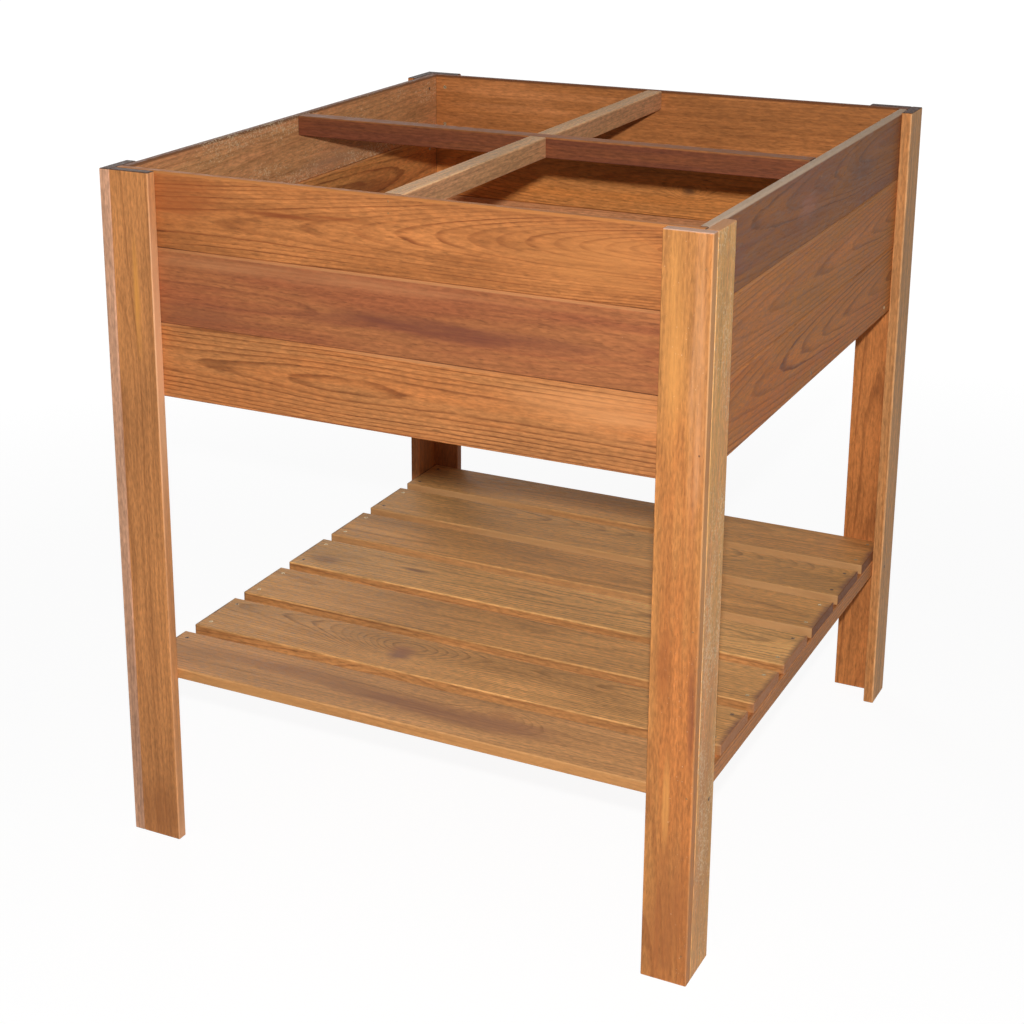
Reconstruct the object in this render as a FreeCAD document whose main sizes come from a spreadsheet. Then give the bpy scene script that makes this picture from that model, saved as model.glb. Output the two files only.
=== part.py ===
"""Raised garden bed on four legs, with a slatted shelf, in millimetres.

The origin is on the ground under the middle of the bed. +Z is up and the front faces -Y.
All four sides are built alike. Seen from outside, a side has a leg board at its left end
that butts against the corner, a leg board at its right end that covers the corner, and a
tongue-and-groove panel behind the two. So the corners turn round the bed like a pinwheel.
"""

import FreeCAD, Part
import os
import Sketcher
from FreeCAD import Placement, Rotation, Vector

doc = FreeCAD.newDocument("raised_bed")

# ------------------------------------------------------------ driving dimensions

DIMENSIONS = [
    # the whole bed
    ("width", 800),
    ("depth", 880),
    ("height", 920),
    # leg boards: two, butted at a right angle, make a leg
    ("leg_width", 58),
    ("leg_thickness", 15),
    # panel boards, stacked on their tongues
    ("panel_board_count", 3),
    ("panel_cover", 97),
    ("panel_thickness", 12),
    ("tongue_length", 6),
    ("tongue_thickness", 4),
    ("tongue_play", 0.4),
    ("vee", 2),
    # the two dividing battens, halved over each other
    ("divider_height", 28),
    ("divider_width", 24),
    ("lap_play", 0.2),
    # the bed's floor and the bearers under it
    ("bearer_count", 3),
    ("bearer_height", 24),
    ("bearer_width", 28),
    ("bearer_inset", 46),
    ("floor_board_count", 7),
    ("floor_board_thickness", 12),
    ("floor_gap", 8),
    ("floor_play", 1),
    # the shelf: slats on two cleats
    ("shelf_height", 250),
    ("slat_count", 7),
    ("slat_thickness", 15),
    ("slat_gap", 23),
    ("cleat_height", 24),
    ("cleat_width", 30),
    # the rounding of a planed edge
    ("arris", 1.5),
    # countersunk screws and finishing nails
    ("screw_head", 5.6),
    ("screw_shank", 3),
    ("screw_head_depth", 2.2),
    ("nail_head", 2.6),
    ("nail_shank", 1.8),
    ("nail_head_depth", 0.8),
    ("point_cover", 2),
    ("end_bite", 28),
    ("screw_edge", 18),
    ("panel_screw_edge", 19),
    ("cleat_screw_edge", 16),
    ("leg_nail_count", 5),
    ("leg_nail_end", 40),
    ("divider_nail_spread", 14),
]

bed = doc.addObject("Spreadsheet::Sheet", "bed")
for row, (alias, number) in enumerate(DIMENSIONS, start=1):
    bed.set(f"A{row}", alias)
    bed.set(f"B{row}", str(number))
    bed.setAlias(f"B{row}", alias)
doc.recompute()

# formulas that more than one piece needs
WALL = "(bed.leg_thickness + bed.panel_thickness)"
INNER_WIDTH = f"(bed.width - 2 * {WALL})"
INNER_DEPTH = f"(bed.depth - 2 * {WALL})"
PANEL_BOTTOM = "(bed.height - bed.panel_board_count * bed.panel_cover)"
SHELF_DEPTH = "(bed.depth - 2 * bed.leg_thickness)"

# ------------------------------------------------------------ drawing and placing

UNTURNED = Rotation()
QUARTER_TURN = Rotation(Vector(0, 0, 1), 90)
OUT_OF_FRONT = Rotation(Vector(1, 0, 0), -90)
INTO_FRONT = Rotation(Vector(1, 0, 0), 90)


def value(formula):
    """What a formula comes to now."""
    return float(bed.evalExpression(formula))


def place(thing, rotation, x, y, z):
    """Turns an object and ties its position to the driving dimensions."""
    thing.Placement = Placement(Vector(0, 0, 0), rotation)
    for axis, formula in (("x", x), ("y", y), ("z", z)):
        thing.setExpression(f"Placement.Base.{axis}", formula)


def section_sketch(body, role, points):
    """A closed outline through points, each tied to its two formulas."""
    sketch = body.newObject("Sketcher::SketchObject", f"{body.Name}_section")
    plane = next(f for f in body.Origin.OriginFeatures if f.Role == role)
    sketch.AttachmentSupport = [(plane, "")]
    sketch.MapMode = "FlatFace"
    spots = [Vector(value(across), value(up), 0) for across, up in points]
    count = len(points)
    for k in range(count):
        sketch.addGeometry(Part.LineSegment(spots[k], spots[(k + 1) % count]), False)
    for k in range(count):
        sketch.addConstraint(Sketcher.Constraint("Coincident", k, 2, (k + 1) % count, 1))
    for k, formulas in enumerate(points):
        for kind, number, formula in zip(("DistanceX", "DistanceY"), spots[k], formulas):
            index = sketch.addConstraint(Sketcher.Constraint(kind, -1, 1, k, 1, number))
            sketch.setExpression(f"Constraints[{index}]", formula)
    return sketch


def run_section(name, role, points, length):
    """A body that carries an outline straight along the plane's normal."""
    body = doc.addObject("PartDesign::Body", f"{name}_blank")
    pad = body.newObject("PartDesign::Pad", f"{name}_length")
    pad.Profile = section_sketch(body, role, points)
    pad.setExpression("Length", length)
    body.Tip = pad
    return body, pad


def planed_board(name, role, across, up, length):
    """A plain board with a rectangular section and rounded edges."""
    corners = [("0", "0"), (across, "0"), (across, up), ("0", up)]
    body, pad = run_section(name, role, corners, length)
    rounding = body.newObject("PartDesign::Fillet", f"{name}_arris")
    rounding.Base = (pad, ["Edge1"])
    rounding.UseAllEdges = True
    rounding.setExpression("Radius", "bed.arris")
    body.Tip = rounding
    return body


# ------------------------------------------------------------ the four sides

# a side's name, its run along the ground, the bed's reach behind it, and its turn
SIDES = [
    ("front", "bed.width", "bed.depth", 0),
    ("right", "bed.depth", "bed.width", 90),
    ("back", "bed.width", "bed.depth", 180),
    ("left", "bed.depth", "bed.width", 270),
]
CORNERS = ["front_left", "front_right", "back_right", "back_left"]


def side_turn(side):
    return Rotation(Vector(0, 0, 1), side[3])


def on_side(side, along, inward):
    """The X and Y of a point of a side, counted from its left end and its outer face."""
    name, run, reach, turn = side
    a = f"(({along}) - {run} / 2)"
    b = f"(({inward}) - {reach} / 2)"
    return {0: (a, b), 90: (f"-{b}", a), 180: (f"-{a}", f"-{b}"), 270: (b, f"-{a}")}[turn]


# ------------------------------------------------------------ fasteners

blanks = {}
holes = {}
fasteners = {}


def fastener_pattern(name, kind, length):
    """One screw or nail, its head's top at the origin and its point straight down."""
    shank = f"bed.{kind}_shank / 2"
    depth = f"bed.{kind}_head_depth"
    head = doc.addObject("Part::Cone", f"{name}_head")
    head.setExpression("Radius1", shank)
    head.setExpression("Radius2", f"bed.{kind}_head / 2")
    head.setExpression("Height", depth)
    head.setExpression("Placement.Base.z", f"-{depth}")
    body = doc.addObject("Part::Cylinder", f"{name}_shank")
    body.setExpression("Radius", shank)
    body.setExpression("Height", f"{length} - {depth}")
    body.setExpression("Placement.Base.z", f"-({length})")
    whole = doc.addObject("Part::Fuse", f"{name}_pattern")
    whole.Base = head
    whole.Tool = body
    fasteners[name] = (whole, [])


def drive(name, rotation, spot, height, through):
    """Puts one more fastener of a pattern in place, through the boards named."""
    pattern, driven = fasteners[name]
    link = doc.addObject("App::Link", f"{name}_{len(driven) + 1}")
    link.LinkedObject = pattern
    place(link, rotation, spot[0], spot[1], height)
    driven.append(link)
    for board in through:
        holes.setdefault(board, []).append(link)


fastener_pattern("panel_screws", "screw", f"({WALL} - bed.point_cover)")
fastener_pattern("leg_nails", "nail", "(bed.leg_thickness + bed.end_bite)")
fastener_pattern("divider_nails", "nail", "(bed.panel_thickness + bed.end_bite)")
fastener_pattern("bearer_screws", "screw", "(bed.panel_thickness + bed.end_bite)")
fastener_pattern(
    "floor_screws",
    "screw",
    "(bed.floor_board_thickness + bed.bearer_height - bed.point_cover)",
)
fastener_pattern(
    "cleat_screws", "screw", "(bed.leg_thickness + bed.cleat_width - bed.point_cover)"
)
fastener_pattern(
    "slat_screws", "screw", "(bed.slat_thickness + bed.cleat_height - bed.point_cover)"
)

# ------------------------------------------------------------ legs


def leg_board_names(k):
    """The butting and the covering leg board of side k."""
    here, following = CORNERS[k], CORNERS[(k + 1) % 4]
    side = SIDES[k][0]
    return f"{here}_leg_{side}_board", f"{following}_leg_{side}_board"


for k, side in enumerate(SIDES):
    run = side[1]
    starts = ("bed.leg_thickness", f"{run} - bed.leg_width")
    for name, start in zip(leg_board_names(k), starts):
        board = planed_board(
            name, "XY_Plane", "bed.leg_width", "bed.leg_thickness", "bed.height"
        )
        place(board, side_turn(side), *on_side(side, start, "0"), "0")
        blanks[name] = board

# nails go through the covering board of one side into the edge of the next side's board
for k, side in enumerate(SIDES):
    covering = leg_board_names(k)[1]
    butting = leg_board_names((k + 1) % 4)[0]
    spot = on_side(side, f"{side[1]} - bed.leg_thickness / 2", "0")
    for n in range(int(bed.leg_nail_count)):
        height = (
            f"bed.leg_nail_end + {n} * (bed.height - 2 * bed.leg_nail_end)"
            " / (bed.leg_nail_count - 1)"
        )
        turn = side_turn(side) * INTO_FRONT
        drive("leg_nails", turn, spot, height, [covering, butting])

# ------------------------------------------------------------ panels


def matched_section(tongued, grooved):
    """A panel board's section: Y runs from its outer to its inner face and Z up its cover."""
    deep, high, vee = "bed.panel_thickness", "bed.panel_cover", "bed.vee"
    tongue = "bed.tongue_thickness / 2"
    mouth = "(bed.tongue_thickness / 2 + bed.tongue_play / 2)"
    groove_top = "(bed.tongue_length + bed.tongue_play)"
    tongue_top = f"({high} + bed.tongue_length)"
    bottom = [("0", vee), (vee, "0")]
    if grooved:
        bottom += [
            (f"{deep} / 2 - {mouth}", "0"),
            (f"{deep} / 2 - {mouth}", groove_top),
            (f"{deep} / 2 + {mouth}", groove_top),
            (f"{deep} / 2 + {mouth}", "0"),
        ]
    bottom += [(f"{deep} - {vee}", "0"), (deep, vee)]
    top = [(deep, f"{high} - {vee}"), (f"{deep} - {vee}", high)]
    if tongued:
        top += [
            (f"{deep} / 2 + {tongue}", high),
            (f"{deep} / 2 + {tongue}", tongue_top),
            (f"{deep} / 2 - {tongue}", tongue_top),
            (f"{deep} / 2 - {tongue}", high),
        ]
    top += [(vee, high), ("0", f"{high} - {vee}")]
    return bottom + top


board_count = int(bed.panel_board_count)
for k, side in enumerate(SIDES):
    run = side[1]
    # the front and back panels run from leg to leg and the side panels fit between them
    end = "bed.leg_thickness" if side[0] in ("front", "back") else WALL
    butting, covering = leg_board_names(k)
    left_screw = "bed.leg_thickness + (bed.panel_thickness + bed.leg_width) / 2"
    right_screw = f"{run} - (bed.leg_width + {WALL}) / 2"
    for n in range(board_count):
        name = f"{side[0]}_panel_board_{n + 1}"
        bottom = f"(bed.height - (bed.panel_board_count - {n}) * bed.panel_cover)"
        section = matched_section(n < board_count - 1, n > 0)
        board = run_section(name, "YZ_Plane", section, f"{run} - 2 * {end}")[0]
        spot = on_side(side, end, "bed.leg_thickness")
        place(board, side_turn(side), *spot, bottom)
        blanks[name] = board
        # two screws at each end, from inside the bed into the leg board
        for along, leg in ((left_screw, butting), (right_screw, covering)):
            for up in ("bed.panel_screw_edge", "bed.panel_cover - bed.panel_screw_edge"):
                drive(
                    "panel_screws",
                    side_turn(side) * OUT_OF_FRONT,
                    on_side(side, along, WALL),
                    f"{bottom} + {up}",
                    [name, leg],
                )

# ------------------------------------------------------------ dividing battens

DIVIDER_BOTTOM = "(bed.height - bed.divider_height)"
DIVIDER_MIDDLE = f"({DIVIDER_BOTTOM} + bed.divider_height / 2)"
LAP_WIDTH = "(bed.divider_width + bed.lap_play)"
CROSS_START = (f"-{INNER_WIDTH} / 2", "-bed.divider_width / 2")
LONG_START = ("bed.divider_width / 2", f"-{INNER_DEPTH} / 2")

# name, turn, length, start in X and Y, and the bottom of the half that the lap cuts away
DIVIDERS = [
    ("cross_divider", UNTURNED, INNER_WIDTH, CROSS_START, DIVIDER_BOTTOM),
    ("long_divider", QUARTER_TURN, INNER_DEPTH, LONG_START, DIVIDER_MIDDLE),
]
for name, turn, length, start, lap_bottom in DIVIDERS:
    board = planed_board(name, "YZ_Plane", "bed.divider_width", "bed.divider_height", length)
    place(board, turn, *start, DIVIDER_BOTTOM)
    blanks[name] = board
    lap = doc.addObject("Part::Box", f"{name}_lap")
    lap.setExpression("Length", LAP_WIDTH)
    lap.setExpression("Width", LAP_WIDTH)
    lap.setExpression("Height", "bed.divider_height / 2")
    place(lap, UNTURNED, f"-{LAP_WIDTH} / 2", f"-{LAP_WIDTH} / 2", lap_bottom)
    holes[name] = [lap]

# two nails through the panel into each end of a batten
for side in SIDES:
    divider = "long_divider" if side[0] in ("front", "back") else "cross_divider"
    top_board = f"{side[0]}_panel_board_{board_count}"
    for sign in ("-", "+"):
        drive(
            "divider_nails",
            side_turn(side) * INTO_FRONT,
            on_side(side, f"{side[1]} / 2", "bed.leg_thickness"),
            f"{DIVIDER_MIDDLE} {sign} bed.divider_nail_spread / 2",
            [top_board, divider],
        )

# ------------------------------------------------------------ bearers and floor

BEARER_SPACE = f"({INNER_DEPTH} - 2 * bed.bearer_inset - bed.bearer_width)"
bearer_count = int(bed.bearer_count)


def bearer_start(n):
    """The front face of bearer n, as a Y."""
    step = f"{n} * {BEARER_SPACE} / (bed.bearer_count - 1)"
    return f"(bed.bearer_inset - {INNER_DEPTH} / 2 + {step})"


for n in range(bearer_count):
    name = f"floor_bearer_{n + 1}"
    board = planed_board(
        name, "YZ_Plane", "bed.bearer_width", "bed.bearer_height", INNER_WIDTH
    )
    place(board, UNTURNED, f"-{INNER_WIDTH} / 2", bearer_start(n), PANEL_BOTTOM)
    blanks[name] = board
    middle = f"({bearer_start(n)} + bed.bearer_width / 2)"
    for side, along in ((SIDES[1], middle), (SIDES[3], f"-{middle}")):
        drive(
            "bearer_screws",
            side_turn(side) * INTO_FRONT,
            on_side(side, f"bed.depth / 2 + {along}", "bed.leg_thickness"),
            f"{PANEL_BOTTOM} + bed.bearer_height / 2",
            [f"{side[0]}_panel_board_1", name],
        )

# the floor boards share the bed's width, with a gap at each side of each
FLOOR_PITCH = f"(({INNER_WIDTH} - bed.floor_gap) / bed.floor_board_count)"
FLOOR_BOARD_WIDTH = f"({FLOOR_PITCH} - bed.floor_gap)"
FLOOR_BOTTOM = f"({PANEL_BOTTOM} + bed.bearer_height)"
for n in range(int(bed.floor_board_count)):
    name = f"floor_board_{n + 1}"
    left = f"(bed.floor_gap - {INNER_WIDTH} / 2 + {n} * {FLOOR_PITCH})"
    board = planed_board(
        name,
        "YZ_Plane",
        FLOOR_BOARD_WIDTH,
        "bed.floor_board_thickness",
        f"{INNER_DEPTH} - 2 * bed.floor_play",
    )
    front = f"bed.floor_play - {INNER_DEPTH} / 2"
    place(board, QUARTER_TURN, f"{left} + {FLOOR_BOARD_WIDTH}", front, FLOOR_BOTTOM)
    blanks[name] = board
    for m in range(bearer_count):
        for edge in ("bed.screw_edge", f"{FLOOR_BOARD_WIDTH} - bed.screw_edge"):
            drive(
                "floor_screws",
                UNTURNED,
                # off the bearer's middle, to pass the screws in its ends
                (f"{left} + {edge}", f"{bearer_start(m)} + bed.bearer_width / 4"),
                f"{FLOOR_BOTTOM} + bed.floor_board_thickness",
                [name, f"floor_bearer_{m + 1}"],
            )

# ------------------------------------------------------------ shelf

SLAT_BOTTOM = "(bed.shelf_height - bed.slat_thickness)"
for k in (1, 3):
    side = SIDES[k]
    name = f"shelf_cleat_{side[0]}"
    board = planed_board(name, "YZ_Plane", "bed.cleat_width", "bed.cleat_height", SHELF_DEPTH)
    spot = on_side(side, "bed.leg_thickness", "bed.leg_thickness")
    place(board, side_turn(side), *spot, f"{SLAT_BOTTOM} - bed.cleat_height")
    blanks[name] = board
    butting, covering = leg_board_names(k)
    ends = (
        ("bed.leg_thickness + bed.leg_width - bed.cleat_screw_edge", butting),
        ("bed.depth - bed.leg_width + bed.cleat_screw_edge", covering),
    )
    for along, leg in ends:
        drive(
            "cleat_screws",
            side_turn(side) * INTO_FRONT,
            on_side(side, along, "0"),
            f"{SLAT_BOTTOM} - bed.cleat_height / 2",
            [leg, name],
        )

# the slats share the shelf's depth, with a gap between each two
SLAT_LENGTH = "(bed.width - 2 * bed.leg_thickness)"
SLAT_PITCH = f"(({SHELF_DEPTH} + bed.slat_gap) / bed.slat_count)"
SLAT_WIDTH = f"({SLAT_PITCH} - bed.slat_gap)"
for n in range(int(bed.slat_count)):
    name = f"shelf_slat_{n + 1}"
    board = planed_board(name, "YZ_Plane", SLAT_WIDTH, "bed.slat_thickness", SLAT_LENGTH)
    front = f"({n} * {SLAT_PITCH} - {SHELF_DEPTH} / 2)"
    place(board, UNTURNED, f"-{SLAT_LENGTH} / 2", front, SLAT_BOTTOM)
    blanks[name] = board
    for sign, cleat in (("-", "shelf_cleat_left"), ("", "shelf_cleat_right")):
        for edge in ("bed.screw_edge", f"{SLAT_WIDTH} - bed.screw_edge"):
            drive(
                "slat_screws",
                UNTURNED,
                (f"{sign}({SLAT_LENGTH} - bed.cleat_width) / 2", f"{front} + {edge}"),
                "bed.shelf_height",
                [name, cleat],
            )

# ------------------------------------------------------------ finished pieces

pieces = []
for name, board in blanks.items():
    tool = doc.addObject("Part::Compound", f"{name}_holes")
    tool.Links = holes[name]
    piece = doc.addObject("Part::Cut", name)
    piece.Base = board
    piece.Tool = tool
    piece.Label = name
    pieces.append(piece)
for name, (pattern, driven) in fasteners.items():
    group = doc.addObject("Part::Compound", name)
    group.Links = driven
    group.Label = name
    pieces.append(group)

doc.recompute()

for thing in doc.Objects:
    if "Invalid" in thing.State or "Error" in thing.State:
        raise RuntimeError(f"{thing.Name} did not build: {thing.State}")

os.makedirs("parts", exist_ok=True)
for piece in pieces:
    if piece.Shape.isNull() or not piece.Shape.isValid():
        raise RuntimeError(f"{piece.Label} has no sound shape")
    piece.Shape.exportStep(f"parts/{piece.Label}.step")
    print(f"{piece.Label}: {len(piece.Shape.Solids)} solids, {piece.Shape.Volume:.0f} mm3")
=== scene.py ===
"""Raised garden bed on four legs: the looks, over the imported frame. Sizes are in metres."""

import math

import bmesh
import bpy
from mathutils import Euler, Matrix, Vector


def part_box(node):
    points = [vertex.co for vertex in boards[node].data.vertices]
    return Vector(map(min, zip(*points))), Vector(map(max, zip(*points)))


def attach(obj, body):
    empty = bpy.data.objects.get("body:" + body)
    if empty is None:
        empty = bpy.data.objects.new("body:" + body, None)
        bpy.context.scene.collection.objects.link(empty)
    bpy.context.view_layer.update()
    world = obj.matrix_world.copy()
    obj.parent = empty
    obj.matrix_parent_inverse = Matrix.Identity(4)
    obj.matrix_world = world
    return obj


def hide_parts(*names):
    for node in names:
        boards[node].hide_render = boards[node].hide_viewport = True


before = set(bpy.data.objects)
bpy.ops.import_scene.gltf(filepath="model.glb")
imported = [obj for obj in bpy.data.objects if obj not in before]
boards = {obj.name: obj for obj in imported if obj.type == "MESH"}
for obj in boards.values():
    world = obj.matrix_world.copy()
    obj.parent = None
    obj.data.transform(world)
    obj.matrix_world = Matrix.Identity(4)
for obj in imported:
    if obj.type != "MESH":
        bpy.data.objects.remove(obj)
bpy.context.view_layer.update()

# ------------------------------------------------------------ legs
#
# Eight planed softwood boards, butted in pairs and nailed along the corner. They are oiled
# golden brown, weathered grey-yellow on the sides that the sun and rain reach, and their
# tops are end grain that has gone dark with dirt and mildew.


def srgb(red, green, blue):
    """A colour as a paint chart gives it, 0 to 255, in the light values that shaders use."""
    parts = [c / 255 for c in (red, green, blue)]
    return tuple(c / 12.92 if c <= 0.04045 else ((c + 0.055) / 1.055) ** 2.4 for c in parts) + (1.0,)


def feed(tree, socket, value):
    """Sets a socket, or links it where the value is another node's output."""
    if isinstance(value, bpy.types.NodeSocket):
        tree.links.new(value, socket)
    else:
        socket.default_value = value


def calc(tree, operation, *values):
    """Arithmetic on numbers."""
    node = tree.nodes.new("ShaderNodeMath")
    node.operation = operation
    for socket, value in zip(node.inputs, values):
        feed(tree, socket, value)
    return node.outputs[0]


def along(tree, operation, *values):
    """Vector arithmetic."""
    node = tree.nodes.new("ShaderNodeVectorMath")
    node.operation = operation
    for socket, value in zip(node.inputs, values):
        feed(tree, socket, value)
    return node.outputs["Value" if operation == "LENGTH" else "Vector"]


def rise(tree, value, low, high):
    """0 up to low and 1 from high, with a soft change between; low may be the larger."""
    node = tree.nodes.new("ShaderNodeMapRange")
    node.interpolation_type = "SMOOTHSTEP"
    for label, number in (("Value", value), ("From Min", low), ("From Max", high)):
        feed(tree, node.inputs[label], number)
    return node.outputs["Result"]


def noise(tree, place, waves, seed, detail=2.0):
    """Noise with so many waves a metre along, across and through a board."""
    node = tree.nodes.new("ShaderNodeTexNoise")
    node.noise_dimensions = "4D"
    feed(tree, node.inputs["Vector"], along(tree, "MULTIPLY", place, waves))
    feed(tree, node.inputs["W"], seed)
    node.inputs["Scale"].default_value = 1.0
    node.inputs["Detail"].default_value = detail
    return node.outputs["Fac"]


def mixed(tree, amount, first, second, blend="MIX"):
    """Two colours mixed. A colour mix has its factor, A, B and result at 0, 6, 7 and 2."""
    node = tree.nodes.new("ShaderNodeMix")
    node.data_type = "RGBA"
    node.blend_type = blend
    feed(tree, node.inputs[0], amount)
    feed(tree, node.inputs[6], first)
    feed(tree, node.inputs[7], second)
    return node.outputs[2]


def shader_group(name, takes, gives):
    """An empty group; an input named Place, Half, At or Reach is a vector, the rest are numbers."""
    group = bpy.data.node_groups.new(name, "ShaderNodeTree")
    for label in takes:
        kind = "Vector" if label in ("Place", "Half", "At", "Reach") else "Float"
        group.interface.new_socket(label, in_out="INPUT", socket_type=f"NodeSocket{kind}")
    for label in gives:
        group.interface.new_socket(label, in_out="OUTPUT", socket_type="NodeSocketFloat")
    return group, group.nodes.new("NodeGroupInput").outputs, group.nodes.new("NodeGroupOutput").inputs


def use(tree, group, **values):
    """Places a group in a material with its own values and returns its outputs."""
    node = tree.nodes.new("ShaderNodeGroup")
    node.node_tree = group
    for label, value in values.items():
        feed(tree, node.inputs[label.replace("_", " ").title()], value)
    return node.outputs


def rings_group():
    """Growth rings where a saw has cut them: thin dark latewood lines round the tree's heart."""
    takes = [
        "Place", "Seed", "Ring", "Heart Across", "Heart Depth", "Drift", "Lean", "Bow", "Bow At",
        "Level", "Wander", "Least", "Swell",
    ]
    nearest = 0.002
    group, of, out = shader_group("growth rings", takes, ["Latewood", "Tone"])
    cut = group.nodes.new("ShaderNodeSeparateXYZ")
    feed(group, cut.inputs[0], of["Place"])
    x = calc(group, "SUBTRACT", cut.outputs[0], of["Bow At"])
    squared = calc(group, "MULTIPLY", x, x)
    levelled = calc(group, "MULTIPLY_ADD", squared, of["Level"], 1.0)
    bowed = calc(group, "DIVIDE", calc(group, "MULTIPLY", squared, of["Bow"]), levelled)
    depth = calc(group, "ADD", calc(group, "MULTIPLY_ADD", x, of["Lean"], of["Heart Depth"]), bowed)
    depth = calc(group, "MAXIMUM", calc(group, "ADD", depth, cut.outputs[2]), nearest)
    heart = calc(group, "MULTIPLY_ADD", cut.outputs[0], of["Drift"], of["Heart Across"])
    across = calc(group, "SUBTRACT", cut.outputs[1], heart)
    deep = calc(group, "MULTIPLY", depth, depth)
    radius = calc(group, "SQRT", calc(group, "MULTIPLY_ADD", across, across, deep))
    slow = noise(group, of["Place"], (2.4, 9.0, 9.0), of["Seed"], 1.0)
    radius = calc(group, "MULTIPLY_ADD", calc(group, "SUBTRACT", slow, 0.5), of["Wander"], radius)
    count = calc(group, "DIVIDE", radius, of["Ring"])
    quick = noise(group, of["Place"], (20.0, 90.0, 90.0), of["Seed"], 3.0)
    count = calc(group, "MULTIPLY_ADD", quick, 0.55, count)
    count = calc(group, "SUBTRACT", count, of["Swell"])
    share = calc(group, "FRACT", count)
    year = group.nodes.new("ShaderNodeTexWhiteNoise")
    year.noise_dimensions = "1D"
    feed(group, year.inputs["W"], calc(group, "ADD", calc(group, "FLOOR", count), of["Seed"]))
    hard_year = calc(group, "MULTIPLY", year.outputs["Value"], year.outputs["Value"])
    line = calc(group, "MULTIPLY", rise(group, share, 0.55, 0.88), rise(group, share, 1.0, 0.92))
    broken = noise(group, of["Place"], (9.0, 120.0, 120.0), of["Seed"], 2.0)
    line = calc(group, "MULTIPLY", line, rise(group, broken, 0.22, 0.6))
    soft = calc(group, "MULTIPLY", calc(group, "MULTIPLY", share, share), 0.16)
    most = calc(group, "SUBTRACT", 1.0, of["Least"])
    strength = calc(group, "MULTIPLY_ADD", hard_year, most, of["Least"])
    feed(group, out["Latewood"], calc(group, "MULTIPLY_ADD", line, strength, soft))
    feed(group, out["Tone"], year.outputs["Value"])
    return group


def fibre_group():
    """What runs along a board between its rings: streaks wide and fine, flecks and pores."""
    waves = {
        "Cloud": (3.6, 16.0, 5.0),
        "Streak": (2.6, 75.0, 3.0),
        "Thread": (9.0, 300.0, 3.0),
        "Fleck": (95.0, 390.0, 4.0),
        "Pore": (75.0, 520.0, 1.0),
    }
    sharpened = {"Fleck": (0.3, 0.7), "Pore": (0.6, 0.72)}
    group, of, out = shader_group("fibres", ["Place", "Seed"], list(waves))
    for label, (lengthwise, crosswise, detail) in waves.items():
        scale = (lengthwise, crosswise, crosswise)
        found = noise(group, of["Place"], scale, of["Seed"], detail)
        if label in sharpened:
            found = rise(group, found, *sharpened[label])
        feed(group, out[label], found)
    return group


def knot_group():
    """One knot: how many rings it pushes aside, and its own dark round."""
    takes = ["Place", "At", "Seed", "Size", "Spread", "Rings"]
    group, of, out = shader_group("knot", takes, ["Swell", "Round"])
    ragged = noise(group, of["Place"], (60.0, 90.0, 20.0), of["Seed"], 3.0)
    gap = along(group, "MULTIPLY", along(group, "SUBTRACT", of["Place"], of["At"]), (0.6, 1.0, 0.0))
    far = along(group, "LENGTH", gap)
    wide = calc(group, "DIVIDE", far, of["Spread"])
    steep = calc(group, "MULTIPLY", calc(group, "MULTIPLY", wide, wide), -1.0)
    falloff = calc(group, "EXPONENT", steep)
    feed(group, out["Swell"], calc(group, "MULTIPLY", falloff, of["Rings"]))
    near = calc(group, "DIVIDE", far, of["Size"])
    near = calc(group, "MULTIPLY_ADD", calc(group, "SUBTRACT", ragged, 0.5), 0.9, near)
    feed(group, out["Round"], rise(group, near, 1.35, 0.25))
    return group


def patch_group():
    """A ragged patch, long with the grain: a stain, a bleached place or mildew."""
    group, of, out = shader_group("patch", ["Place", "At", "Reach", "Seed"], ["Patch"])
    ragged = noise(group, of["Place"], (10.0, 60.0, 60.0), of["Seed"], 4.0)
    gap = along(group, "DIVIDE", along(group, "SUBTRACT", of["Place"], of["At"]), of["Reach"])
    far = along(group, "LENGTH", gap)
    near = calc(group, "MULTIPLY_ADD", calc(group, "SUBTRACT", ragged, 0.5), 1.3, far)
    feed(group, out["Patch"], rise(group, near, 1.15, 0.15))
    return group


# How far in from a board's own surfaces each zone starts to show, and where it is full.
SAWN_END = (0.0014, 0.0003)
UPPER_EDGE = (0.0042, 0.0014)
LOWER_EDGE = (0.0022, 0.0004)
OUTER_FACE = (0.0030, 0.0008)
ARRIS = (0.0034, 0.0010)
MIDDLE = (0.0, 0.001)


def edges_group():
    """Where a board stops: sawn ends, upper and lower edge, outer face and rubbed arrises."""
    gives = ["Ends", "Upper", "Lower", "Face", "Arris"]
    group, of, out = shader_group("board edges", ["Place", "Half"], gives)
    inside = along(group, "SUBTRACT", of["Half"], along(group, "ABSOLUTE", of["Place"]))
    cut = group.nodes.new("ShaderNodeSeparateXYZ")
    feed(group, cut.inputs[0], inside)
    x, y, z = cut.outputs
    side = group.nodes.new("ShaderNodeSeparateXYZ")
    feed(group, side.inputs[0], of["Place"])
    feed(group, out["Ends"], rise(group, x, *SAWN_END))
    edge = rise(group, y, *UPPER_EDGE)
    up = rise(group, side.outputs[1], *MIDDLE)
    feed(group, out["Upper"], calc(group, "MULTIPLY", edge, up))
    joint = rise(group, y, *LOWER_EDGE)
    feed(group, out["Lower"], calc(group, "MULTIPLY", joint, calc(group, "SUBTRACT", 1.0, up)))
    outer = rise(group, side.outputs[2], *MIDDLE)
    feed(group, out["Face"], calc(group, "MULTIPLY", rise(group, z, *OUTER_FACE), outer))
    low, high = calc(group, "MINIMUM", x, y), calc(group, "MAXIMUM", x, y)
    middle = calc(group, "MAXIMUM", low, calc(group, "MINIMUM", high, z))
    feed(group, out["Arris"], rise(group, middle, *ARRIS))
    return group


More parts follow.
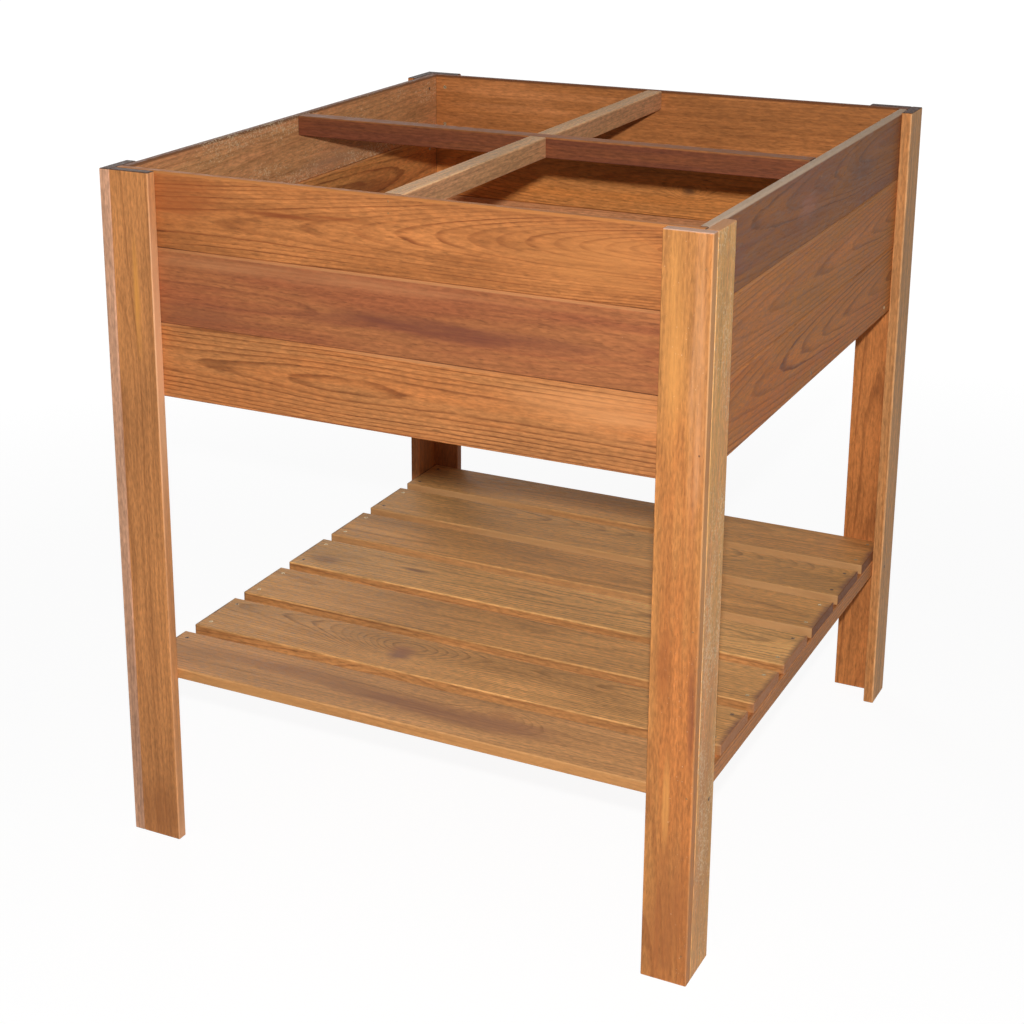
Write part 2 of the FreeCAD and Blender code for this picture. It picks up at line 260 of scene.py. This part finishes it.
def specks_group():
    """Fine pale specks, as thick as Amount says: mildew and dried splashes."""
    group, of, out = shader_group("specks", ["Place", "Seed", "Amount"], ["Specks"])
    grains = noise(group, of["Place"], (380.0, 470.0, 470.0), of["Seed"], 2.0)
    drift = noise(group, of["Place"], (7.0, 22.0, 22.0), of["Seed"], 3.0)
    thick = calc(group, "MULTIPLY", of["Amount"], rise(group, drift, 0.2, 0.7))
    least = calc(group, "SUBTRACT", 0.78, calc(group, "MULTIPLY", thick, 0.3))
    feed(group, out["Specks"], rise(group, grains, least, calc(group, "ADD", least, 0.16)))
    return group


rings = rings_group()
fibres = fibre_group()
knot = knot_group()
patch = patch_group()
edges = edges_group()
specks = specks_group()

TONE_DEPTHS = {"Cloud": 1.0, "Streak": 0.55, "Thread": 0.55, "Fleck": 0.36}
RUBBED = (1.5, 1.5, 1.5, 1.0)
SPECK_COLOUR = srgb(252, 226, 182)


def timber(node, turn, early, late, ends, second=None, ring=0.005, heart=(0.0, 0.05), drift=0.0,
           lean=0.0, bow=(0.0, 0.0), level=0.0, wander=0.012, least=0.2, contrast=0.8, knots=(),
           knot_dark=0.7, stains=(), mildew=0.0, sun=None, top=None, crest=0.8, foot=None,
           worn=0.35, seed=0.0, tall=None):
    """Gives one board its own cut of wood.

    turn takes the board's length to X, its width to Y and its face to Z. early and late are the
    two colours of a ring, second one that comes and goes in the wood, ends the end grain's, sun
    the weathered outer face's, and top and foot those of the two long edges. ring is a year's
    width. heart is where the tree's middle runs, across the board and behind its face; drift
    moves it across, and lean and bow change its depth, less far away as level grows. wander is
    how far rings stray, least how strong the faintest is, and contrast how dark all of them.
    worn is how rubbed the corners are, crest how full the top's colour, tall the height in view.
    """
    low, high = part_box(node)
    if tall:
        high = Vector((high.x, high.y, low.z + tall))
    material = bpy.data.materials.new(f"{node} wood")
    material.use_nodes = True
    tree = material.node_tree
    spin = Euler([math.radians(angle) for angle in turn])
    reach = spin.to_matrix().inverted() @ ((high - low) / 2)
    half = Vector([abs(c) for c in reach])
    mapping = tree.nodes.new("ShaderNodeMapping")
    mapping.vector_type = "TEXTURE"
    mapping.inputs["Location"].default_value = (low + high) / 2
    mapping.inputs["Rotation"].default_value = spin
    feed(tree, mapping.inputs["Vector"], tree.nodes.new("ShaderNodeTexCoord").outputs["Object"])
    place = mapping.outputs[0]

    swell, rounds = 0.0, 0.0
    for x, y, size, spread, pushed in knots:
        found = use(
            tree, knot, place=place, at=(x, y, 0), seed=seed, size=size, spread=spread, rings=pushed
        )
        swell = calc(tree, "ADD", swell, found["Swell"])
        rounds = calc(tree, "MAXIMUM", rounds, found["Round"])
    figure = use(
        tree, rings, place=place, seed=seed, ring=ring, heart_across=heart[0],
        heart_depth=heart[1], drift=drift, lean=lean, bow=bow[0], bow_at=bow[1], level=level,
        wander=wander, least=least, swell=swell,
    )
    strands = use(tree, fibres, place=place, seed=seed)
    edge = use(tree, edges, place=place, half=half)

    if second:
        fine = calc(tree, "MULTIPLY_ADD", strands["Streak"], 0.7, -0.35)
        drifted = calc(tree, "ADD", strands["Cloud"], fine)
        early = mixed(tree, rise(tree, drifted, 0.38, 0.66), early, second)
    if sun:
        uneven = calc(tree, "MULTIPLY_ADD", strands["Streak"], 0.5, 0.6)
        bleached = calc(tree, "MULTIPLY", edge["Face"], uneven)
        early = mixed(tree, bleached, early, sun)
        faded_late = tuple(c * 0.62 for c in sun[:3]) + (1.0,)
        late = mixed(tree, calc(tree, "MULTIPLY", bleached, 0.6), late, faded_late)
    colour = mixed(tree, calc(tree, "MULTIPLY", figure["Latewood"], contrast), early, late)

    tone = calc(tree, "MULTIPLY_ADD", figure["Tone"], 0.10, 0.95)
    for label, depth in TONE_DEPTHS.items():
        band = calc(tree, "MULTIPLY_ADD", strands[label], depth, 1 - depth / 2)
        tone = calc(tree, "MULTIPLY", tone, band)
    pores = calc(tree, "MULTIPLY_ADD", strands["Pore"], -0.25, 1.0)
    tone = calc(tree, "MULTIPLY", tone, pores)
    grey = tree.nodes.new("ShaderNodeCombineColor")
    for socket in grey.inputs:
        feed(tree, socket, tone)
    colour = mixed(tree, 1.0, colour, grey.outputs[0], "MULTIPLY")

    for x, y, long, wide, stain, amount in stains:
        reach = (long, wide, 0.03)
        at = use(tree, patch, place=place, at=(x, y, half.z), reach=reach, seed=seed + x)
        threaded = calc(tree, "MULTIPLY_ADD", strands["Thread"], 1.2, amount - 0.6)
        soaked = calc(tree, "MULTIPLY", at["Patch"], threaded)
        colour = mixed(tree, soaked, colour, srgb(*stain))
    if knots:
        colour = mixed(tree, calc(tree, "MULTIPLY", rounds, knot_dark), colour, ends)
    rubbed = mixed(tree, 1.0, colour, RUBBED, "MULTIPLY")
    rub = calc(tree, "MULTIPLY", edge["Arris"], rise(tree, strands["Thread"], 0.3, 0.7))
    colour = mixed(tree, calc(tree, "MULTIPLY", rub, worn), colour, rubbed)
    if foot:
        patchy = calc(tree, "MULTIPLY_ADD", rise(tree, strands["Cloud"], 0.6, 0.35), 0.6, 0.3)
        colour = mixed(tree, calc(tree, "MULTIPLY", edge["Lower"], patchy), colour, foot)
    if top:
        cloudy = rise(tree, strands["Cloud"], 0.4, 0.65)
        patchy = calc(tree, "MULTIPLY_ADD", cloudy, 0.9 - crest, crest)
        colour = mixed(tree, calc(tree, "MULTIPLY", edge["Upper"], patchy), colour, top)
    if mildew:
        found = use(tree, specks, place=place, seed=seed, amount=mildew)
        colour = mixed(tree, calc(tree, "MULTIPLY", found["Specks"], 0.5), colour, SPECK_COLOUR)
    sawn = mixed(tree, calc(tree, "MULTIPLY", figure["Latewood"], 0.5), ends, late)
    colour = mixed(tree, edge["Ends"], colour, sawn)

    shader = tree.nodes["Principled BSDF"]
    feed(tree, shader.inputs["Base Color"], colour)
    feed(tree, shader.inputs["Roughness"], calc(tree, "MULTIPLY_ADD", strands["Fleck"], 0.2, 0.55))
    shader.inputs["Specular IOR Level"].default_value = 0.25
    height = calc(tree, "MULTIPLY", strands["Thread"], 0.8)
    height = calc(tree, "MULTIPLY_ADD", figure["Latewood"], 0.35, height)
    height = calc(tree, "MULTIPLY_ADD", strands["Fleck"], 0.6, height)
    bump = tree.nodes.new("ShaderNodeBump")
    bump.inputs["Strength"].default_value = 0.4
    bump.inputs["Distance"].default_value = 0.0006
    feed(tree, bump.inputs["Height"], height)
    feed(tree, shader.inputs["Normal"], bump.outputs[0])
    mesh = boards[node].data
    mesh.materials.clear()
    mesh.materials.append(material)


def paints_of(look, *parts):
    """Takes the named colours out of a board's look and turns them into shader colours."""
    return {part: srgb(*look.pop(part)) for part in parts if part in look}


def pick(piece, kind, wanted):
    """Selects, in edit mode, the vertices or faces that wanted holds for."""
    bpy.ops.mesh.select_mode(type="VERT" if kind == "verts" else "FACE")
    bpy.ops.mesh.select_all(action="DESELECT")
    shape = bmesh.from_edit_mesh(piece.data)
    for item in getattr(shape, kind):
        if wanted(item):
            item.select_set(True)
    shape.select_flush_mode()
    bmesh.update_edit_mesh(piece.data)


def raise_faces(high, wide):
    """Extrudes what is selected along Z and scales its new end about the Z axis."""
    bpy.ops.mesh.extrude_region_move(TRANSFORM_OT_translate={"value": (0, 0, high)})
    bpy.ops.transform.resize(value=(wide, wide, 1), center_override=(0, 0, 0))


NEAR = 1e-5
FACETS = 12
CROSS_TURN = 2.4


def turned_fastener(head, shank, head_depth, long, cross):
    """One screw or nail, its head's top at the origin and its point straight down.

    A screw's head is countersunk and has a cross recess, a nail's is flat and slightly domed.
    """
    tip = 1.5 * shank
    shaft = long - head_depth - tip
    bpy.ops.object.select_all(action="DESELECT")
    bpy.ops.mesh.primitive_cylinder_add(
        vertices=FACETS, radius=shank / 2, depth=shaft, location=(0, 0, -head_depth - shaft / 2)
    )
    piece = bpy.context.object
    piece.rotation_euler.z = math.pi / FACETS
    bpy.ops.object.transform_apply(location=True, rotation=True, scale=True)
    bpy.ops.object.mode_set(mode="EDIT")
    pick(piece, "faces", lambda face: face.normal.z < -0.9)
    raise_faces(-tip, 0.2)
    pick(piece, "faces", lambda face: face.normal.z > 0.9)
    if cross:
        raise_faces(head_depth, head / shank)
        bpy.ops.mesh.inset(thickness=head * 0.16)
        ring = head * 0.34
        pick(piece, "verts", lambda v: v.co.z > -NEAR and v.co.xy.length < ring
             and abs(abs(v.co.x) - abs(v.co.y)) < NEAR)
        bpy.ops.transform.resize(value=(0.42, 0.42, 1), center_override=(0, 0, 0))
        pick(piece, "faces", lambda face: face.normal.z > 0.9 and len(face.verts) == FACETS)
        raise_faces(-head_depth * 0.6, 0.55)
    else:
        raise_faces(0, head / shank)
        raise_faces(head_depth * 0.8, 1)
        raise_faces(head_depth * 0.2, 0.8)
    bpy.ops.object.mode_set(mode="OBJECT")
    return piece


def heads_of(node):
    """Each screw or nail of a CAD group: where its head's top is and which way that faces."""
    copy = boards[node].copy()
    copy.data = boards[node].data.copy()
    bpy.context.scene.collection.objects.link(copy)
    bpy.ops.object.select_all(action="DESELECT")
    copy.select_set(True)
    bpy.context.view_layer.objects.active = copy
    bpy.ops.object.mode_set(mode="EDIT")
    bpy.ops.mesh.select_all(action="SELECT")
    bpy.ops.mesh.remove_doubles(threshold=1e-6)
    bpy.ops.mesh.separate(type="LOOSE")
    bpy.ops.object.mode_set(mode="OBJECT")
    found = []
    for single in list(bpy.context.selected_objects):
        spots = [v.co.copy() for v in single.data.vertices]
        low = Vector([min(c[k] for c in spots) for k in range(3)])
        high = Vector([max(c[k] for c in spots) for k in range(3)])
        line = max(range(3), key=lambda k: high[k] - low[k])
        middle = (low + high) / 2
        rim = max(spots, key=lambda c: sum((c[k] - middle[k]) ** 2 for k in range(3) if k != line))
        outwards = Vector((0, 0, 0))
        outwards[line] = 1 if rim[line] > middle[line] else -1
        found.append((middle + outwards * (high[line] - middle[line]), outwards))
        bpy.data.objects.remove(single)
    return sorted(found, key=lambda spot: tuple(spot[0]))


def metal(name, bright, dull, grime):
    """A fastener's steel gone dull: a cloudy surface, with brown grime on some of them."""
    material = bpy.data.materials.new(name)
    material.use_nodes = True
    tree = material.node_tree
    place = tree.nodes.new("ShaderNodeTexCoord").outputs["Object"]
    each = noise(tree, place, (23.0, 23.0, 23.0), 3.0, 0.0)
    cloud = noise(tree, place, (700.0, 700.0, 700.0), 5.0, 3.0)
    stained = calc(tree, "MULTIPLY_ADD", calc(tree, "SUBTRACT", each, 0.5), 2.0, cloud)
    shader = tree.nodes["Principled BSDF"]
    plating = mixed(tree, rise(tree, cloud, 0.35, 0.65), bright, dull)
    feed(tree, shader.inputs["Base Color"], mixed(tree, rise(tree, stained, 0.5, 0.75), plating, grime))
    feed(tree, shader.inputs["Metallic"], rise(tree, stained, 0.75, 0.5))
    feed(tree, shader.inputs["Roughness"], calc(tree, "MULTIPLY_ADD", cloud, 0.35, 0.42))
    bump = tree.nodes.new("ShaderNodeBump")
    bump.inputs["Strength"].default_value = 0.3
    bump.inputs["Distance"].default_value = 0.0002
    feed(tree, bump.inputs["Height"], cloud)
    feed(tree, shader.inputs["Normal"], bump.outputs[0])
    return material


def drive_in(name, node, pattern, finish):
    """Copies one screw or nail to every place of a CAD group and joins them as one piece."""
    bpy.ops.object.select_all(action="DESELECT")
    for count, (top, outwards) in enumerate(heads_of(node)):
        single = pattern.copy()
        single.data = pattern.data.copy()
        bpy.context.scene.collection.objects.link(single)
        turn = outwards.to_track_quat("Z", "Y").to_matrix().to_4x4()
        driven = Matrix.Rotation(CROSS_TURN * count, 4, "Z")
        single.matrix_world = Matrix.Translation(top) @ turn @ driven
        single.select_set(True)
        bpy.context.view_layer.objects.active = single
    pattern.select_set(False)
    bpy.ops.object.join()
    bpy.ops.object.transform_apply(location=True, rotation=True, scale=True)
    piece = bpy.context.object
    piece.name = name
    piece.data.materials.append(finish)
    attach(piece, "root")
    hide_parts(node)
    bpy.data.objects.remove(pattern)


SIDES = {"front": 0, "right": 90, "back": 180, "left": 270}
LEG_BOARDS = {
    "front_left_leg_front_board": dict(
        early=(187, 120, 67), late=(140, 82, 42), second=(199, 133, 72), ends=(74, 52, 40),
        sun=(191, 127, 74), foot=(240, 182, 136), heart=(0.03, 0.05),
        stains=[
            (0.30, -0.004, 0.09, 0.007, (220, 150, 72), 0.7),
            (-0.42, 0.0, 0.06, 0.04, (150, 92, 50), 0.5),
        ],
    ),
    "front_left_leg_left_board": dict(
        early=(202, 152, 120), late=(146, 98, 68), ends=(74, 52, 40), heart=(0.0, 0.09), mildew=0.4,
    ),
    "front_right_leg_front_board": dict(
        early=(198, 132, 72), late=(148, 86, 44), second=(182, 112, 58), ends=(226, 182, 156),
        foot=(220, 164, 112), heart=(0.02, 0.06), mildew=0.45,
        stains=[
            (0.33, 0.012, 0.16, 0.016, (220, 152, 80), 0.55),
            (0.30, -0.018, 0.22, 0.012, (218, 158, 112), 0.4),
            (-0.10, -0.024, 0.10, 0.006, (130, 74, 50), 0.6),
            (-0.22, 0.004, 0.07, 0.005, (226, 156, 84), 0.8),
            (-0.38, 0.0, 0.12, 0.04, (164, 98, 54), 0.6),
            (-0.05, 0.012, 0.06, 0.016, (160, 92, 48), 0.6),
        ],
    ),
    "front_right_leg_right_board": dict(
        early=(244, 184, 115), late=(186, 128, 74), second=(222, 158, 105), ends=(218, 156, 108),
        heart=(0.0, 0.09), mildew=1.3, stains=[(-0.25, 0.0, 0.2, 0.03, (200, 136, 90), 0.5)],
    ),
    "back_right_leg_right_board": dict(
        early=(210, 147, 90), late=(154, 100, 56), second=(194, 128, 72), ends=(66, 44, 38),
        sun=(228, 172, 118), heart=(0.03, 0.06), mildew=0.3,
    ),
    "back_right_leg_back_board": dict(
        early=(196, 124, 66), late=(138, 80, 40), ends=(66, 44, 38), heart=(0.01, 0.08),
    ),
    "back_left_leg_back_board": dict(
        early=(176, 108, 60), late=(118, 66, 36), ends=(60, 42, 34), heart=(0.0, 0.09),
    ),
    "back_left_leg_left_board": dict(
        early=(190, 118, 64), late=(128, 72, 38), ends=(60, 42, 34), heart=(0.02, 0.07),
    ),
}
for k, (node, look) in enumerate(LEG_BOARDS.items()):
    paints = paints_of(look, "early", "late", "second", "ends", "sun", "foot")
    side = node.split("_")[3]
    timber(
        node, (90, -90, SIDES[side]), ring=0.0045, lean=0.012, wander=0.02, contrast=0.6,
        worn=0.55, seed=3.1 * k + 1, **paints, **look,
    )

NAIL = dict(head=0.0026, shank=0.0018, head_depth=0.0008, cross=False)
nail_steel = metal("browned nail steel", srgb(176, 136, 92), srgb(150, 106, 66), srgb(122, 80, 48))
drive_in("corner_nails", "leg_nails", turned_fastener(long=0.043, **NAIL), nail_steel)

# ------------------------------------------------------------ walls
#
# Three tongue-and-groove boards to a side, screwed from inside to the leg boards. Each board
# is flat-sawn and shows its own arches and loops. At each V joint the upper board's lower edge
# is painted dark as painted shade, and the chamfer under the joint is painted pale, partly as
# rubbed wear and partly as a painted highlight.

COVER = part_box("front_panel_board_2")[0].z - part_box("front_panel_board_1")[0].z
WALLS = {
    "front": [
        dict(
            early=(192, 125, 71), late=(112, 58, 26), second=(182, 113, 61), ring=0.0042,
            heart=(0.004, 0.020), lean=-0.007, bow=(0.42, -0.073), level=69.0, wander=0.003,
            least=0.6, contrast=0.95, stains=[(0.3, 0.02, 0.2, 0.03, (216, 148, 92), 0.5)],
        ),
        dict(
            early=(172, 106, 62), late=(114, 60, 38), second=(146, 83, 50), ring=0.0042,
            heart=(-0.004, 0.03), lean=0.05, bow=(0.05, 0.1), contrast=0.5, wander=0.02, mildew=0.2,
            stains=[
                (0.06, -0.008, 0.24, 0.016, (112, 60, 44), 0.75),
                (-0.28, -0.03, 0.12, 0.02, (132, 76, 50), 0.5),
                (-0.1, 0.035, 0.35, 0.012, (186, 124, 80), 0.5),
            ],
        ),
        dict(
            early=(171, 104, 54), late=(112, 56, 24), second=(180, 113, 61), ring=0.0033,
            heart=(0.004, 0.040), drift=0.05, bow=(-0.085, -0.36), contrast=0.8, wander=0.005,
            least=0.3,
            stains=[
                (-0.14, 0.010, 0.07, 0.0035, (132, 66, 30), 0.85),
                (-0.30, 0.02, 0.08, 0.04, (160, 84, 40), 0.6),
                (-0.08, 0.014, 0.05, 0.003, (140, 72, 34), 0.7),
                (0.25, 0.0, 0.12, 0.04, (200, 130, 70), 0.5),
            ],
        ),
    ],
    "right": [
        dict(
            early=(200, 128, 68), late=(104, 56, 30), second=(184, 110, 58), ring=0.005,
            heart=(0.006, 0.03), lean=-0.05, least=0.35, contrast=0.9, wander=0.012,
        ),
        dict(
            early=(196, 128, 69), late=(106, 62, 34), second=(182, 115, 65), ring=0.0042,
            heart=(0.0, 0.03), lean=-0.03, bow=(-0.03, 0.0), least=0.3, contrast=0.9, wander=0.010,
        ),
        dict(
            early=(158, 100, 55), late=(96, 58, 36), second=(130, 82, 56), ring=0.005,
            heart=(0.018, 0.035), lean=-0.05, contrast=0.7, wander=0.02, mildew=0.3,
            stains=[
                (-0.05, 0.0, 0.05, 0.018, (172, 116, 96), 0.5),
                (0.2, 0.0, 0.08, 0.03, (112, 78, 66), 0.6),
                (-0.32, -0.01, 0.05, 0.02, (120, 76, 66), 0.6),
            ],
        ),
    ],
    "back": [
        dict(early=(216, 148, 98), late=(166, 100, 62), ring=0.004, heart=(0.0, 0.07), lean=0.03),
        dict(
            early=(222, 146, 78), late=(146, 82, 40), second=(212, 134, 66), ring=0.0042,
            heart=(0.006, 0.03), lean=0.02, bow=(0.10, -0.06), contrast=0.8,
            knots=[(-0.061, -0.004, 0.007, 0.016, 4.0)],
        ),
        dict(
            early=(196, 124, 66), late=(150, 84, 42), second=(206, 134, 78), ring=0.0035,
            heart=(-0.02, 0.06), lean=0.01, contrast=0.45, mildew=0.25,
        ),
    ],
    "left": [
        dict(early=(190, 120, 70), late=(132, 78, 44), heart=(0.0, 0.07), lean=0.03),
        dict(
            early=(222, 150, 84), late=(154, 92, 50), second=(198, 122, 66), heart=(0.01, 0.04),
            lean=-0.03, stains=[(-0.18, 0.0, 0.12, 0.03, (128, 70, 42), 0.6)],
        ),
        dict(
            early=(224, 161, 106), late=(172, 112, 70), second=(212, 146, 98), heart=(-0.01, 0.06),
            lean=0.02, mildew=1.1, stains=[(-0.1, -0.03, 0.14, 0.02, (176, 138, 112), 0.55)],
        ),
    ],
}
RIMS = {"front": (202, 130, 70), "right": (230, 200, 170), "back": (100, 54, 28), "left": (112, 68, 38)}
# Painted highlight with some rubbed wear: the pale upper edge of the two lower boards, the chamfer
# under each joint.
JOINT_WEAR_AND_HIGHLIGHT = (200, 138, 88)
# Painted shade: the dark colour along the lower edge of each upper board, where the V joint lies in
# shade.
PAINTED_JOINT_SHADE = srgb(70, 42, 28)
for side, angle in SIDES.items():
    for n, look in enumerate(WALLS[side]):
        paints = paints_of(look, "early", "late", "second")
        rim = n == 2
        timber(
            f"{side}_panel_board_{n + 1}", (90, 0, angle), ends=srgb(96, 66, 46), tall=COVER,
            # On the lower boards, top is the painted highlight, with some wear, on the chamfer under a
            # joint.
            top=srgb(*(RIMS[side] if rim else JOINT_WEAR_AND_HIGHLIGHT)), crest=0.8 if rim else 0.1,
            # foot on the upper boards is the painted shade along the joint below them.
            foot=PAINTED_JOINT_SHADE if n else None, seed=20 + angle / 10 + 3.7 * n, **paints, **look,
        )

SCREW = dict(head=0.0056, shank=0.003, head_depth=0.0022, cross=True)
zinc = metal("dull zinc", srgb(214, 196, 160), srgb(160, 138, 104), srgb(108, 78, 52))
drive_in("wall_screws", "panel_screws", turned_fastener(long=0.025, **SCREW), zinc)

# ------------------------------------------------------------ dividing battens
#
# Two softwood battens halved over each other, flush with the rim and nailed through the
# walls. The one from front to back has weathered to a pale grey-tan and the one from side to
# side is a dark red-brown.

timber("long_divider", (0, 0, 90), srgb(224, 167, 117), srgb(172, 121, 80), srgb(120, 84, 62),
       second=srgb(208, 153, 110), sun=srgb(246, 194, 142), ring=0.003, heart=(0.05, 0.03),
       wander=0.01, contrast=0.6, seed=71.0)
timber("cross_divider", (0, 0, 0), srgb(139, 78, 45), srgb(98, 54, 36), srgb(80, 50, 38),
       second=srgb(114, 61, 38), sun=srgb(164, 102, 56), ring=0.003, heart=(0.04, 0.04),
       wander=0.01, contrast=0.7, worn=0.1, seed=74.0)

drive_in("batten_nails", "divider_nails", turned_fastener(long=0.04, **NAIL), nail_steel)

# ------------------------------------------------------------ floor of the bed
#
# Seven rough softwood boards with drainage gaps, screwed down to three bearers. The bearers
# run from side wall to side wall and are screwed through them.

for n in range(7):
    timber(f"floor_board_{n + 1}", (0, 0, 90), srgb(180, 124, 80), srgb(124, 78, 48), srgb(90, 62, 44),
           second=srgb(160, 106, 68), ring=0.004, heart=(0.01 * (n % 3 - 1), 0.03 + 0.01 * (n % 2)),
           lean=0.03, seed=80 + 2.3 * n)
for n in range(3):
    timber(f"floor_bearer_{n + 1}", (0, 0, 0), srgb(186, 124, 76), srgb(130, 80, 46), srgb(90, 62, 44),
           ring=0.004, heart=(0.04, 0.05), seed=110 + 2.9 * n)

drive_in("bearer_end_screws", "bearer_screws", turned_fastener(long=0.04, **SCREW), zinc)
drive_in("floor_board_screws", "floor_screws", turned_fastener(long=0.034, **SCREW), zinc)

# ------------------------------------------------------------ shelf
#
# Seven slats on two cleats, screwed down at the ends. Their tops have faded to a grey tan,
# their edges have kept the orange of the oil, and their ends are purple-grey end grain.

SLATS = [
    dict(
        sun=(225, 168, 110), heart=(0.0, 0.04), lean=0.02, knots=[(0.116, 0.024, 0.013, 0.03, 5.0)],
        stains=[
            (-0.20, 0.012, 0.14, 0.022, (170, 120, 84), 0.75),
            (0.02, -0.006, 0.16, 0.024, (162, 112, 80), 0.8),
            (0.13, 0.0, 0.08, 0.03, (170, 120, 88), 0.7),
        ],
    ),
    dict(
        sun=(238, 179, 112), heart=(0.03, 0.03), lean=-0.05, least=0.45,
        knots=[(-0.087, 0.008, 0.014, 0.05, 9.0)],
        stains=[(-0.085, -0.004, 0.02, 0.03, (160, 116, 92), 0.8)],
    ),
    dict(sun=(235, 177, 110), heart=(0.02, 0.05), lean=0.02),
    dict(
        sun=(244, 188, 118), heart=(0.01, 0.04), lean=0.02,
        stains=[
            (-0.2, 0.006, 0.035, 0.007, (130, 86, 58), 0.9),
            (-0.34, -0.02, 0.03, 0.02, (140, 98, 70), 0.6),
        ],
    ),
    dict(sun=(231, 172, 104), heart=(-0.01, 0.06), lean=0.02),
    dict(sun=(231, 174, 106), heart=(0.03, 0.03), lean=0.05, bow=(0.1, -0.2)),
    dict(sun=(225, 166, 100), heart=(0.02, 0.05), lean=0.02),
]
WEATHERED_ENDS = [
    (0.388, 0.0, 0.012, 0.09, (138, 94, 76), 0.9),
    (-0.3845, 0.0, 0.003, 0.09, (84, 52, 34), 1.0),
]
# The first slat and the last three show their front edge; from the fifth on, it is paler.
for n, look in enumerate(SLATS):
    front_edge = srgb(212, 162, 108) if n > 3 else srgb(204, 146, 88)
    sawn = srgb(186, 126, 84) if n < 4 else srgb(124, 74, 42)
    zones = look.pop("stains", []) + WEATHERED_ENDS
    timber(
        f"shelf_slat_{n + 1}", (0, 0, 0), srgb(194, 134, 78), srgb(136, 84, 48), sawn,
        ring=0.004, contrast=0.8, knot_dark=0.4, worn=0.15, stains=zones, seed=130 + 4.1 * n,
        foot=front_edge if n in (0, 4, 5, 6) else None, **paints_of(look, "sun"), **look,
    )
for side in ("left", "right"):
    timber(f"shelf_cleat_{side}", (0, 0, 90), srgb(196, 130, 78), srgb(140, 86, 48), srgb(80, 56, 42),
           ring=0.004, heart=(0.03, 0.06), seed=170.0)

drive_in("cleat_end_screws", "cleat_screws", turned_fastener(long=0.043, **SCREW), zinc)
drive_in("shelf_screws", "slat_screws", turned_fastener(long=0.037, **SCREW), zinc)

# ------------------------------------------------------------ studio
#
# A pale paper floor in a bare pale room, lit by a small lamp just over the camera and a wide
# soft one on the far side. The camera stands where the photograph was taken from.

CAMERA_AT = Vector((1.0599, -2.3385, 1.3905))
YAW, PITCH, ROLL = -0.4869, 0.2957, -0.0067
FOCAL_PIXELS, FRAME_PIXELS = 1937.35, 1024
LENS_AXIS = (425, 358)

lens = bpy.data.cameras.new("camera")
camera = bpy.data.objects.new("camera", lens)
bpy.context.scene.collection.objects.link(camera)
heading = Matrix.Rotation(-YAW, 4, "Z")
tilt = Matrix.Rotation(math.pi / 2 - PITCH, 4, "X")
camera.matrix_world = Matrix.Translation(CAMERA_AT) @ heading @ tilt @ Matrix.Rotation(ROLL, 4, "Z")
lens.sensor_width = 36
lens.lens = FOCAL_PIXELS / FRAME_PIXELS * lens.sensor_width
lens.shift_x = 0.5 - LENS_AXIS[0] / FRAME_PIXELS
lens.shift_y = LENS_AXIS[1] / FRAME_PIXELS - 0.5
bpy.context.scene.camera = camera

FLOOR_WIDTH = 30
FLOOR_GREY = (0.86, 0.86, 0.86, 1.0)
PAPER_GLOW = 1.08
SHADOW_REACH = (0.9, 3.5)
WHITE = (1.0, 1.0, 1.0, 1.0)
ROOM_LIGHT = 0.13


def background_rays(tree):
    """1 where a ray looks at the background: straight, in a reflection or through glass."""
    ray = tree.nodes.new("ShaderNodeLightPath")
    shown = calc(tree, "MAXIMUM", ray.outputs["Is Camera Ray"], ray.outputs["Is Glossy Ray"])
    return calc(tree, "MAXIMUM", shown, ray.outputs["Is Transmission Ray"])


bpy.ops.object.select_all(action="DESELECT")
bpy.ops.mesh.primitive_plane_add(size=FLOOR_WIDTH, location=(0, 0, 0))
floor = bpy.context.object
floor.name = "studio_floor"
paper = bpy.data.materials.new("studio paper")
paper.use_nodes = True
tree = paper.node_tree
paper_shader = tree.nodes["Principled BSDF"]
paper_shader.inputs["Base Color"].default_value = FLOOR_GREY
paper_shader.inputs["Roughness"].default_value = 0.9
paper_shader.inputs["Specular IOR Level"].default_value = 0.0
glow = tree.nodes.new("ShaderNodeEmission")
glow.inputs["Strength"].default_value = PAPER_GLOW
lit = tree.nodes.new("ShaderNodeMixShader")
away = along(tree, "LENGTH", tree.nodes.new("ShaderNodeTexCoord").outputs["Object"])
paper_white = calc(tree, "MULTIPLY_ADD", rise(tree, away, *SHADOW_REACH), 0.12, 0.85)
feed(tree, lit.inputs[0], calc(tree, "MULTIPLY", background_rays(tree), paper_white))
feed(tree, lit.inputs[1], paper_shader.outputs[0])
feed(tree, lit.inputs[2], glow.outputs[0])
feed(tree, tree.nodes["Material Output"].inputs["Surface"], lit.outputs[0])
floor.data.materials.append(paper)

world = bpy.data.worlds.new("studio")
bpy.context.scene.world = world
world.use_nodes = True
tree = world.node_tree
room = tree.nodes["Background"]
room.inputs["Color"].default_value = WHITE
room.inputs["Strength"].default_value = ROOM_LIGHT
backdrop = tree.nodes.new("ShaderNodeBackground")
backdrop.inputs["Color"].default_value = WHITE
choice = tree.nodes.new("ShaderNodeMixShader")
feed(tree, choice.inputs[0], background_rays(tree))
feed(tree, choice.inputs[1], room.outputs[0])
feed(tree, choice.inputs[2], backdrop.outputs[0])
feed(tree, tree.nodes["World Output"].inputs["Surface"], choice.outputs[0])


def lamp(name, at, towards, size, power):
    """A round soft lamp, its size in metres and its power in watts."""
    light = bpy.data.lights.new(name, "AREA")
    light.shape = "DISK"
    light.size = size
    light.energy = power
    holder = bpy.data.objects.new(name, light)
    holder.location = at
    holder.rotation_euler = (Vector(towards) - Vector(at)).to_track_quat("-Z", "Y").to_euler()
    bpy.context.scene.collection.objects.link(holder)


lamp("camera lamp", CAMERA_AT + Vector((0, 0, 0.17)), towards=(0, 0, 0.55), size=0.06, power=52)
lamp("far side lamp", (-2.4, 2.6, 1.3), towards=(0, 0, 0.5), size=1.6, power=20)

bpy.context.scene.view_settings.view_transform = "Standard"
